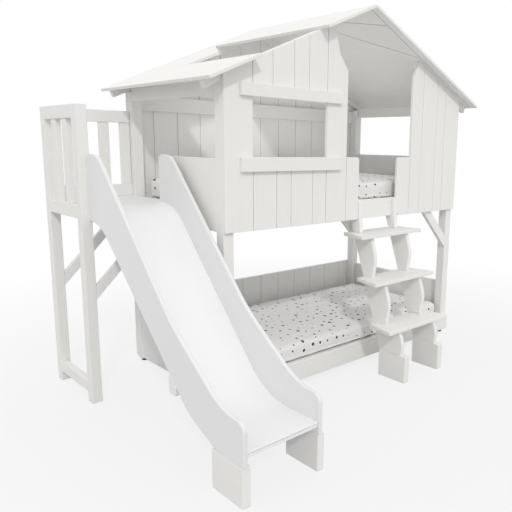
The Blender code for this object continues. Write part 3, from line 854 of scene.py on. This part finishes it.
def makeTowerGuard(word):
    guard, node = towerGuards[word], f"tower_{word}_guard"
    run = "XY".index(guard["run"])
    low, high = nodeSpans(node)
    railLow, railHigh = low.z + towerRail, high.z - towerRail
    rails = {
        "top": ((low.x, low.y, railHigh), high),
        "low": (low, (high.x, high.y, railLow)),
    }
    for place, corners in rails.items():
        plank(f"tower_{word}_{place}_rail", *corners, guard["run"], node, ease=sanding["bar"])
    inset = (high[1 - run] - low[1 - run] - guard["slatThick"]) / 2
    for number, share in enumerate(guard["shares"], 1):
        middle = between(low[run], high[run], share)
        spot, end = low.copy(), high.copy()
        spot[run], end[run] = middle - guard["slat"] / 2, min(middle + guard["slat"] / 2, high[run])
        spot[1 - run] += inset
        end[1 - run] -= inset
        spot.z, end.z = railLow, railHigh
        plank(f"tower_{word}_slat_{number}", spot, end, "Z", node)


deckBoards = 4


def makeDeck():
    low, high = nodeSpans("tower_deck")
    width = (high.y - low.y) / deckBoards
    for number in range(deckBoards):
        front = low.y + number * width + (house["joint"] if number else 0)
        spot, end = (low.x, front, low.z), (high.x, low.y + (number + 1) * width, high.z)
        plank(f"deck_board_{number + 1}", spot, end, "X", "tower_deck")


# Slide

slide = {
    "left": -0.4756,
    "right": -0.040,
    "sideThick": 0.022,
    "back": 0.5767,
    "deck": 1.125,  # height of the sliding face at the deck
    "low": 0.247,  # and at the foot
    "slope": 1.054,  # fall for each metre ahead
    "topBend": 0.4127,  # where the face would turn, were it not rounded
    "topRadius": 0.300,
    "lowRadius": 0.400,
    "end": -0.790,
    "thick": 0.018,
    "skin": 0.007,  # the upper layer of the chute, over a core
    "skinJoint": 0.0034,
    "coreSetBack": 0.003,
    "lipLength": 0.045,  # the thicker strip under the front edge
    "lipDrop": 0.008,
    "skinEase": 0.0018,
    "coreEase": 0.0015,
    "arcSteps": 28,
}
slide["lowBend"] = slide["topBend"] - (slide["deck"] - slide["low"]) / slide["slope"]
slideSide = {
    "front": -0.795,
    "over": 0.270,  # height over the deck
    "wall": 0.231,  # height over the slope
    "backRadius": 0.035,
    "headRadius": 0.120,
    "kneeBack": 0.1703,  # the wavy edge, read from the chute's lower bend
    "kneeRadius": 1.000,
    "toeAhead": 0.2147,
    "toeTop": 0.385,
    "toeRadius": 0.350,
    "frontTop": 0.375,
    "frontRadius": 0.045,
    "foot": 0.1833,  # lower edge at the front
    "footAhead": 0.1797,
    "bendBack": 0.0403,
    "underRadius": 0.300,
    "underBack": 0.1247,  # from the back edge to the upper bend under the side
    "underDrop": 0.085,
    "underSlope": 0.92,
    "ease": 0.0055,
    "easeSteps": 5,
}


def slideUnder(y):  # the sides' lower edge along the slope
    bend = slide["back"] - slideSide["underBack"]
    return slide["deck"] - slideSide["underDrop"] - (bend - y) * slideSide["underSlope"]


def makeSlideSides():
    side, bend, slope, back = slideSide, slide["lowBend"], slide["slope"], slide["back"]
    top = slide["deck"] + side["over"]
    start = slide["topBend"] + (side["over"] - side["wall"]) / slope
    knee = bend + side["kneeBack"]
    underHigh, underLow = back - side["underBack"], bend + side["bendBack"]
    outline = [
        (back, slideUnder(underHigh), 0),
        (back, top, side["backRadius"]),
        (start, top, side["headRadius"]),
        (knee, top - (start - knee) * slope, side["kneeRadius"]),
        (bend - side["toeAhead"], side["toeTop"], side["toeRadius"]),
        (side["front"], side["frontTop"], side["frontRadius"]),
        (side["front"], side["foot"], 0),
        (bend - side["footAhead"], side["foot"], 0),
        (underLow, slideUnder(underLow), side["underRadius"]),
        (underHigh, slideUnder(underHigh), side["underRadius"]),
    ]
    outline, depth = roundCorners(outline, slide["arcSteps"]), (slide["sideThick"], 0, 0)
    easing = {"ease": side["ease"], "steps": side["easeSteps"]}
    for word, x in (("left", slide["left"]), ("right", slide["right"] - slide["sideThick"])):
        points, node = sideView(outline, x), f"slide_side_{word}"
        # the sides' finish is the darker lacquer, partly painted shade
        boardCut(f"slide_wall_{word}", points, depth, "slideSide", node, **easing)


def chuteLayer(top, thick, front):  # side view of a layer that lies `top` under the sliding face
    half = tan(atan(slide["slope"]) / 2)
    faces = []
    for depth in (top, top + thick):
        shift = depth * half
        faces.append(
            [
                (slide["back"], slide["deck"] - depth, 0),
                (slide["topBend"] + shift, slide["deck"] - depth, slide["topRadius"] - depth),
                (slide["lowBend"] + shift, slide["low"] - depth, slide["lowRadius"] + depth),
                (front, slide["low"] - depth, 0),
            ]
        )
    if top:  # the core's front edge is thicker
        end, under = faces[1].pop()[:2]
        lip, back = under - slide["lipDrop"], end + slide["lipLength"]
        faces[1] += [(back, under, 0), (back, lip, 0), (end, lip, 0)]
    return roundCorners([*faces[0], *reversed(faces[1])], slide["arcSteps"])


def makeChute():
    inner = slide["left"] + slide["sideThick"] + house["fit"]
    width = (slide["right"] - slide["sideThick"] - house["fit"] - inner, 0, 0)
    skin = sideView(chuteLayer(0, slide["skin"], slide["end"]), inner)
    boardCut("chute_skin", skin, width, "slide", "slide_chute", ease=slide["skinEase"])
    step, front = slide["skin"] + slide["skinJoint"], slide["end"] + slide["coreSetBack"]
    core = sideView(chuteLayer(step, slide["thick"] - step, front), inner)
    boardCut("chute_core", core, width, "slide", "slide_chute", ease=slide["coreEase"])


batten = {"back": 0.2003, "width": 0.060, "radius": 0.012, "arcSteps": 8, "gap": 0.0005}


def footBlock(name, node, grain):  # a thick block that a side or a stringer stands on
    easing = {"ease": sanding["soft"], "steps": sanding["blockSteps"]}
    plank(name, *nodeSpans(node), grain, node, **easing)


def makeSlideSupports():
    for side in ("left", "right"):
        footBlock(f"slide_block_{side}", f"slide_foot_{side}", "Y")
    low, high = nodeSpans("slide_batten")
    back, gap = slide["lowBend"] + batten["back"], batten["gap"]
    front = back - batten["width"]
    outline = [
        (front, low.z, batten["radius"]),
        (back, low.z, batten["radius"]),
        (back, slideUnder(back) - gap, 0),
        (front, slideUnder(front) - gap, 0),
    ]
    points = sideView(roundCorners(outline, batten["arcSteps"]), low.x)
    boardCut("slide_cross_batten", points, (high.x - low.x, 0, 0), "X", "slide_batten")


# Ladder

ladder = {
    "left": 1.0243,  # left faces of the two stringers
    "right": 1.3797,
    "sideThick": 0.030,
    "heights": (0.910, 0.6295, 0.349),  # upper faces of the treads
    "tread": 0.022,
    "treadLength": 0.615,
    "treadDepth": 0.205,
    "treadRadius": 0.008,
    "treadSteps": 8,
    "endCut": 0.050,  # the treads narrow to the back by this at each end
    "topFront": 0.142,
    "treadLean": 0.450,  # each tread's front lies this much further out, for each metre down
    "lean": 0.352,  # and the stringers' back edge this much
    "backAtTop": 0.068,
    "spine": 0.040,  # wood behind the treads' notches
    "neck": 0.027,  # the noses under a tread, from its front edge back
    "belly": 0.014,  # their fullest point, ahead of it
    "toe": 0.005,  # and their foot on the tread below
    "bellyRadius": 0.150,
    "footHeight": 0.173,
    "headTop": 1.114,  # the heads stand on the front rail, between the guard boards
    "headFront": -0.003,
    "headRadius": 0.010,
    "headNose": -0.022,
    "arcSteps": 20,
}


def treadFront(height):
    return -ladder["topFront"] - ladder["treadLean"] * (ladder["heights"][0] - height)


def stringerBack(z):
    return ladder["backAtTop"] - ladder["lean"] * (house["floor"] - z)


# A ladder side: a leaning spine, with a full curved nose in each space between the treads.
def stringerOutline():
    gap, heights, headTop = house["fit"], ladder["heights"], ladder["headTop"]
    high, low = house["floor"] - gap, ladder["footHeight"] + gap
    corners = [
        (stringerBack(low), low, 0),
        (stringerBack(high), high, 0),
        (house["board"], high, 0),
        (house["board"], headTop, 0),
        (ladder["headFront"], headTop, ladder["headRadius"]),
    ]
    nose = (ladder["headNose"], heights[0] + gap, 0)
    for height, below in zip(heights, (*heights[1:], None)):
        under = height - ladder["tread"] - gap
        foot = low if below is None else below + gap
        slot = stringerBack(height) - ladder["spine"]
        front = treadFront(height)
        corners += [
            nose,
            (slot, height + gap, 0),
            (slot, under, 0),
            (front + ladder["neck"], under, 0),
            (front - ladder["belly"], (foot + under) / 2, ladder["bellyRadius"]),
        ]
        nose = (front + ladder["toe"], foot, 0)
    return roundCorners([*corners, nose], ladder["arcSteps"])


def treadOutline(height, middle):
    front, gap, radius = treadFront(height), house["fit"], ladder["treadRadius"]
    back = front + ladder["treadDepth"]
    notch = stringerBack(height) - ladder["spine"] - gap
    half, cut = ladder["treadLength"] / 2, ladder["endCut"]
    corners = [(middle - half, front, radius), (middle + half, front, radius)]
    corners.append((middle + half - cut, back, radius))
    for x in (ladder["right"], ladder["left"]):
        left, right = x - gap, x + ladder["sideThick"] + gap
        corners += [(right, back, 0), (right, notch, 0), (left, notch, 0), (left, back, 0)]
    return roundCorners([*corners, (middle - half + cut, back, radius)], ladder["treadSteps"])


bolt = {
    "places": ((0.004, 0.950), (0.034, 0.975)),  # (y, z) on each stringer's head
    "radius": 0.0065,
    "height": 0.003,
    "facets": 24,
    "rim": 0.5,  # share of the radius
    "sunk": 0.6,  # share of the height
    "facing": 0.9,  # how squarely a face has to look to the left to be the cap's top
    "ease": 0.0007,
    "easeSteps": 2,
}


def boltCap(name, spot):  # a low round cap with a sunk middle, painted over, facing left
    clearSelection()
    bpy.ops.mesh.primitive_cylinder_add(
        vertices=bolt["facets"],
        radius=bolt["radius"],
        depth=bolt["height"],
        location=bedCorner + Vector(spot) - Vector((bolt["height"] / 2, 0, 0)),
        rotation=(0, -pi / 2, 0),
    )
    cap = bpy.context.active_object
    cap.name = name
    bpy.ops.object.transform_apply(location=True, rotation=True, scale=True)
    bpy.ops.object.mode_set(mode="EDIT")
    bpy.ops.mesh.select_all(action="DESELECT")
    bpy.ops.object.mode_set(mode="OBJECT")
    for face in cap.data.polygons:
        face.select = -face.normal.x > bolt["facing"]
    bpy.ops.object.mode_set(mode="EDIT")
    bpy.ops.mesh.select_mode(type="FACE")
    bpy.ops.mesh.inset(thickness=bolt["radius"] * bolt["rim"])
    sink = (bolt["height"] * bolt["sunk"], 0, 0)
    bpy.ops.mesh.extrude_region_move(TRANSFORM_OT_translate={"value": sink})
    bpy.ops.object.mode_set(mode="OBJECT")
    easeEdges(cap, bolt["ease"], bolt["easeSteps"])
    return settle(cap, "X")


def makeLadder():
    middle = (ladder["left"] + ladder["right"] + ladder["sideThick"]) / 2
    bar = sanding["bar"]
    for number, height in enumerate(reversed(ladder["heights"]), 1):
        points = topView(treadOutline(height, middle), height - ladder["tread"])
        depth = (0, 0, ladder["tread"])
        boardCut(f"tread_{number}", points, depth, "X", f"ladder_tread_{number}", ease=bar)
    for side in ("left", "right"):
        points, depth = sideView(stringerOutline(), ladder[side]), (ladder["sideThick"], 0, 0)
        boardCut(f"stringer_{side}", points, depth, "Z", f"ladder_stringer_{side}", ease=bar)
        footBlock(f"ladder_block_{side}", f"ladder_foot_{side}", "Z")
        for number, place in enumerate(bolt["places"], 1):
            boltCap(f"stringer_bolt_{side}_{number}", (ladder[side], *place))


# Mattresses

bedding = {
    "voxel": 0.014,
    "round": 0.026,
    "roundSteps": 4,
    "shrink": 0.010,  # the simulation starts from a smaller pad, which then swells
    "shrinkUp": 0.8,
    "pressure": 4.0,
    "quality": 6,
    "mass": 0.3,
    "slack": 0.012,  # a little more cloth than foam, so that it creases
    "tucked": 0.012,  # height of the hem that is held
    "frames": 20,
    "cap": 0.010,  # the most that a point may move
    "underAway": 3,  # the underside lies this far off on the sheet's map
}
folds = {
    "height": 0.0045,
    "crown": 0.006,
    "sink": 0.004,
    "liftShare": 1.4,
    "gatherFrom": (0.72, 0.35),  # shares of the half sizes, from which a corner gathers
    "lean": 0.55,
    "broad": (2.1, 3.4, 0.3),  # each is folds along x, folds along y, place in the noise
    "broadHeight": 0.9,
    "ripple": (9.0, 1.8, 4.1),
    "rippleEdge": 2.4,
    "rippleHeights": (0.35, 1.25),  # in the middle and in the corners
    "pull": (24.0, 7.0, 7.7),
    "pullHeights": (0.16, 0.66),
    "sides": (13.0, 9.0),
    "sideHeight": 0.0028,
    "sideBack": 0.002,
    "sideReach": 0.05,
    "sideFrom": 0.02,
    "frontPlace": 9.0,
    "backPlace": 2.0,
    "endPlace": 5.0,
}


# A UV map in metres: the top lies flat, and each side hangs on from the edge it joins.
def unrollSheet(piece):
    mesh = piece.data
    xs, ys, zs = zip(*[v.co for v in mesh.vertices])
    lowX, highX, lowY, highY, top = min(xs), max(xs), min(ys), max(ys), max(zs)
    layer = mesh.uv_layers.new(name="sheetMap")
    for face in mesh.polygons:
        normal = face.normal
        for loop in face.loop_indices:
            x, y, z = mesh.vertices[mesh.loops[loop].vertex_index].co
            drop = top - z
            if abs(normal.z) > max(abs(normal.x), abs(normal.y)):
                place = (x, y) if normal.z > 0 else (x, y + bedding["underAway"])
            elif abs(normal.y) > abs(normal.x):
                place = (x, lowY - drop) if normal.y < 0 else (x, highY + drop)
            else:
                place = (lowX - drop, y) if normal.x < 0 else (highX + drop, y)
            layer.data[loop].uv = place


def foldNoise(layer, x, y):
    along, across, place = folds[layer]
    return noise.noise(Vector((x * along, y * across, place)))


# Soft folds of a fitted sheet: long ripples that gather and sharpen towards the corners.
def foldHeight(spot, half):
    x, y = spot
    fromX, fromY = folds["gatherFrom"]
    corner = max(0.0, abs(x) / half.x - fromX) / (1 - fromX)
    corner *= max(0.0, abs(y) / half.y - fromY) / (1 - fromY)
    lean = x + (folds["lean"] * y if x * y > 0 else -folds["lean"] * y)
    ripple = 1 - abs(foldNoise("ripple", lean, y)) * folds["rippleEdge"]
    height = foldNoise("broad", x, y) * folds["broadHeight"]
    height += ripple * between(*folds["rippleHeights"], corner)
    return height + foldNoise("pull", x, y) * between(*folds["pullHeights"], corner)


def swellSheet(piece, low):  # the sheet is blown up a little round its foam, held where it tucks in
    start = [v.co.copy() for v in piece.data.vertices]
    held = piece.vertex_groups.new(name="tuckedUnder")
    tuckLine = low.z + bedding["shrink"] + bedding["tucked"]
    tucked = [v.index for v in piece.data.vertices if v.co.z < tuckLine]
    held.add(tucked, 1.0, "REPLACE")
    cloth = piece.modifiers.new("sheet", "CLOTH")
    cloth.settings.quality = bedding["quality"]
    cloth.settings.mass = bedding["mass"]
    cloth.settings.use_pressure = True
    cloth.settings.uniform_pressure_force = bedding["pressure"]
    cloth.settings.shrink_min = -bedding["slack"]
    cloth.settings.vertex_group_mass = "tuckedUnder"
    cloth.settings.effector_weights.gravity = 0
    cloth.collision_settings.use_collision = False
    cloth.point_cache.frame_start = 1
    cloth.point_cache.frame_end = bedding["frames"]
    for number in range(1, bedding["frames"] + 1):
        bpy.context.scene.frame_set(number)
    applyModifiers(piece)
    bpy.context.scene.frame_set(1)
    for vertex, first in zip(piece.data.vertices, start):
        step = vertex.co - first
        if step.length > bedding["cap"]:
            vertex.co = first + step.normalized() * bedding["cap"]


def sideRipple(along, z, place):
    many, tall = folds["sides"]
    ripple = noise.noise(Vector((along * many, z * tall, place)))
    return ripple * folds["sideHeight"] - folds["sideBack"]


def foldSheet(piece, centre, half):
    reach = folds["sideReach"]
    for vertex in piece.data.vertices:
        spot = vertex.co - centre
        lift = max(0.0, min(1.0, spot.z / half.z * folds["liftShare"]))
        height = foldHeight(spot.xy, half) * folds["height"] * lift
        crown = max(0.0, 1 - (spot.x / half.x) ** 2) * max(0.0, 1 - (spot.y / half.y) ** 2)
        vertex.co.z += height + (folds["crown"] * crown - folds["sink"]) * lift
        if spot.z <= folds["sideFrom"] - half.z:
            continue
        if abs(spot.y) > half.y - reach:
            place = folds["backPlace"] if spot.y > 0 else folds["frontPlace"]
            vertex.co.y += sideRipple(spot.x, spot.z, place) * (1 if spot.y > 0 else -1)
        if abs(spot.x) > half.x - reach:
            ripple = sideRipple(spot.y, spot.z, folds["endPlace"])
            vertex.co.x += ripple * (1 if spot.x > 0 else -1)


def makeMattress(name, node):
    low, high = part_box(node)
    shrink = bedding["shrink"]
    inset = Vector((shrink, shrink, shrink * bedding["shrinkUp"]))
    piece = block(name, low + inset - bedCorner, high - inset - bedCorner)
    bevel = piece.modifiers.new("roundEdges", "BEVEL")
    bevel.width = bedding["round"]
    bevel.segments = bedding["roundSteps"]
    remesh = piece.modifiers.new("evenMesh", "REMESH")
    remesh.mode = "VOXEL"
    remesh.voxel_size = bedding["voxel"]
    applyModifiers(piece)
    swellSheet(piece, low)
    foldSheet(piece, (low + high) / 2, (high - low) / 2)
    smooth = piece.modifiers.new("softer", "SUBSURF")
    smooth.levels = 1
    smooth.render_levels = 1
    applyModifiers(piece)
    bpy.ops.object.shade_smooth()
    unrollSheet(piece)
    settle(piece, "cotton", node)
    print(name, "made:", len(piece.data.polygons), "faces")


# Room


# The rays that meet the white background and floor; all other rays meet their plain light.
def backgroundRays(tree):
    path = addNode(tree, "ShaderNodeLightPath")
    seen = path.outputs["Is Camera Ray"]
    for name in ("Is Glossy Ray", "Is Transmission Ray"):
        either = addNode(tree, "ShaderNodeMath", operation="MAXIMUM")
        tree.links.new(seen, either.inputs[0])
        tree.links.new(path.outputs[name], either.inputs[1])
        seen = either.outputs[0]
    return seen


def mixShaders(tree, factor, first, second):
    mix = addNode(tree, "ShaderNodeMixShader")
    for socket, value in zip(mix.inputs, (factor, first, second)):
        tree.links.new(value, socket)
    return mix.outputs[0]


room = {
    "floorSize": 60,
    "floorDrop": 0.0005,
    "floorColour": (0.55, 0.55, 0.55),
    "floorRoughness": 0.75,
    "floorSpecular": 0.1,
    "fade": {"From Min": 1.2, "From Max": 4.5, "To Min": 0.80, "To Max": 1.0},  # metres, then share
}


def makeFloor():  # its white grows with the distance, so that the shadow stays near the bed
    clearSelection()
    place = (0, 0, -room["floorDrop"])
    bpy.ops.mesh.primitive_plane_add(size=room["floorSize"], location=place)
    floor = bpy.context.active_object
    floor.name = "studio_floor"
    finish, tree, shader = newFinish("paleFloor", room["floorColour"], room["floorRoughness"])
    shader.inputs["Specular IOR Level"].default_value = room["floorSpecular"]
    length = addNode(tree, "ShaderNodeVectorMath", operation="LENGTH")
    spot = addNode(tree, "ShaderNodeTexCoord")
    tree.links.new(spot.outputs["Object"], length.inputs[0])
    fade = addNode(tree, "ShaderNodeMapRange", interpolation_type="SMOOTHSTEP", **room["fade"])
    tree.links.new(length.outputs["Value"], fade.inputs["Value"])
    seen = addNode(tree, "ShaderNodeMath", operation="MULTIPLY")
    tree.links.new(backgroundRays(tree), seen.inputs[0])
    tree.links.new(fade.outputs["Result"], seen.inputs[1])
    white = addNode(tree, "ShaderNodeEmission", Strength=1.0, Color=(1, 1, 1, 1))
    faded = mixShaders(tree, seen.outputs[0], shader.outputs[0], white.outputs[0])
    tree.links.new(faded, tree.nodes["Material Output"].inputs["Surface"])
    floor.data.materials.append(finish)


light = {
    "zenith": 0.93,  # greys of the sky's dome
    "horizon": 0.84,
    "ground": 0.78,
    "sun": 0.90,
    "sunSize": 4.0,  # degrees
    "sunPath": (0.63, 1.0, -0.9),
    "sunColour": (1.0, 0.985, 0.96),
    "roofGlow": 2.0,
    "roofGlowSize": (1.3, 0.7),
    "roofGlowPlace": (1.0, 0.5, 1.36),  # over the upper mattress
}


def hangLamp(name, kind, energy):
    lamp = bpy.data.lights.new(name, kind)
    lamp.energy = energy
    lamp.color = light["sunColour"]
    holder = bpy.data.objects.new(name, lamp)
    bpy.context.scene.collection.objects.link(holder)
    return lamp, holder


def makeSky():
    world = bpy.data.worlds.new("studio")
    bpy.context.scene.world = world
    world.use_nodes = True
    tree = world.node_tree
    tree.nodes.clear()
    place = addNode(tree, "ShaderNodeTexCoord")
    height = addNode(tree, "ShaderNodeSeparateXYZ")
    tree.links.new(place.outputs["Generated"], height.inputs[0])
    levels = addNode(tree, "ShaderNodeMapRange", **{"From Min": -1, "From Max": 1})
    tree.links.new(height.outputs["Z"], levels.inputs["Value"])
    greys = [evenly(light[name]) for name in ("ground", "horizon", "zenith")]
    dome = rampOf(tree, levels.outputs["Result"], list(zip((0, 0.5, 1), greys)))
    sky = addNode(tree, "ShaderNodeBackground", Strength=1.0)
    tree.links.new(dome, sky.inputs["Color"])
    white = addNode(tree, "ShaderNodeBackground", Strength=1.0, Color=(1, 1, 1, 1))
    both = mixShaders(tree, backgroundRays(tree), sky.outputs[0], white.outputs[0])
    tree.links.new(both, addNode(tree, "ShaderNodeOutputWorld").inputs["Surface"])


def makeLight():
    makeSky()
    lamp, holder = hangLamp("window_light", "SUN", light["sun"])
    lamp.angle = radians(light["sunSize"])
    holder.rotation_euler = Vector(light["sunPath"]).to_track_quat("-Z", "Y").to_euler()
    glow, holder = hangLamp("roof_glow", "AREA", light["roofGlow"])
    glow.shape = "RECTANGLE"
    glow.size, glow.size_y = light["roofGlowSize"]
    holder.location = bedCorner + Vector(light["roofGlowPlace"])
    holder.rotation_euler = (pi, 0, 0)
    holder.visible_camera = False


camera = {
    "place": (-1.7251, -2.5168, 1.4591),
    "yaw": 0.78217,  # radians, as are the next two
    "pitch": -0.18661,
    "roll": 0.01959,
    "focalPixels": 577.55,
    "middle": (330.0, 255.2),  # the lens's centre in the photo, which is a crop
    "pixels": 512,
    "sensor": 36.0,  # millimetres
}


def makeCamera():
    data = bpy.data.cameras.new("photo_view")
    data.sensor_width = camera["sensor"]
    data.lens = camera["focalPixels"] * camera["sensor"] / camera["pixels"]
    half = camera["pixels"] / 2
    data.shift_x = (half - camera["middle"][0]) / camera["pixels"]
    data.shift_y = (camera["middle"][1] - half) / camera["pixels"]
    data.dof.use_dof = False
    yaw, pitch, roll = camera["yaw"], camera["pitch"], camera["roll"]
    ahead = Vector((sin(yaw) * cos(pitch), cos(yaw) * cos(pitch), sin(pitch)))
    right = Vector((cos(yaw), -sin(yaw), 0))
    up = right.cross(ahead)
    turned = cos(roll) * right + sin(roll) * up
    raised = -sin(roll) * right + cos(roll) * up
    holder = bpy.data.objects.new("photo_view", data)
    axes = Matrix((turned, raised, -ahead)).transposed()
    holder.matrix_world = Matrix.Translation(bedCorner + Vector(camera["place"])) @ axes.to_4x4()
    bpy.context.scene.collection.objects.link(holder)
    bpy.context.scene.camera = holder


makeCamera()
makeLight()
makeFloor()
bpy.context.scene.view_settings.view_transform = "Standard"
print("camera, light and floor set")

makePosts()
makeFrameBars()
makeFrontWall()
makeGuardBoards()
makeBackWall()
makeSideGuard()
print("house walls made:", pieceCount, "pieces")
makeLeftSlope()
makeRightSlope()
makeRidgeStrip()
makeRafters()
makeBase("upper_base", "upper_bed_base")
makeBase("lower_base", "lower_bed_base")
makeBraces()
makeTowerGuard("side")
makeTowerGuard("back")
makeDeck()
print("roof, bases and tower made:", pieceCount, "pieces")
makeSlideSides()
makeChute()
makeSlideSupports()
makeLadder()
print("slide and ladder made:", pieceCount, "pieces")
makeMattress("upper_sheet", "upper_mattress")
makeMattress("lower_sheet", "lower_mattress")

left = [name for name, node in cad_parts.items() if not node.hide_render]
print("nodes without a piece of their own:", left)
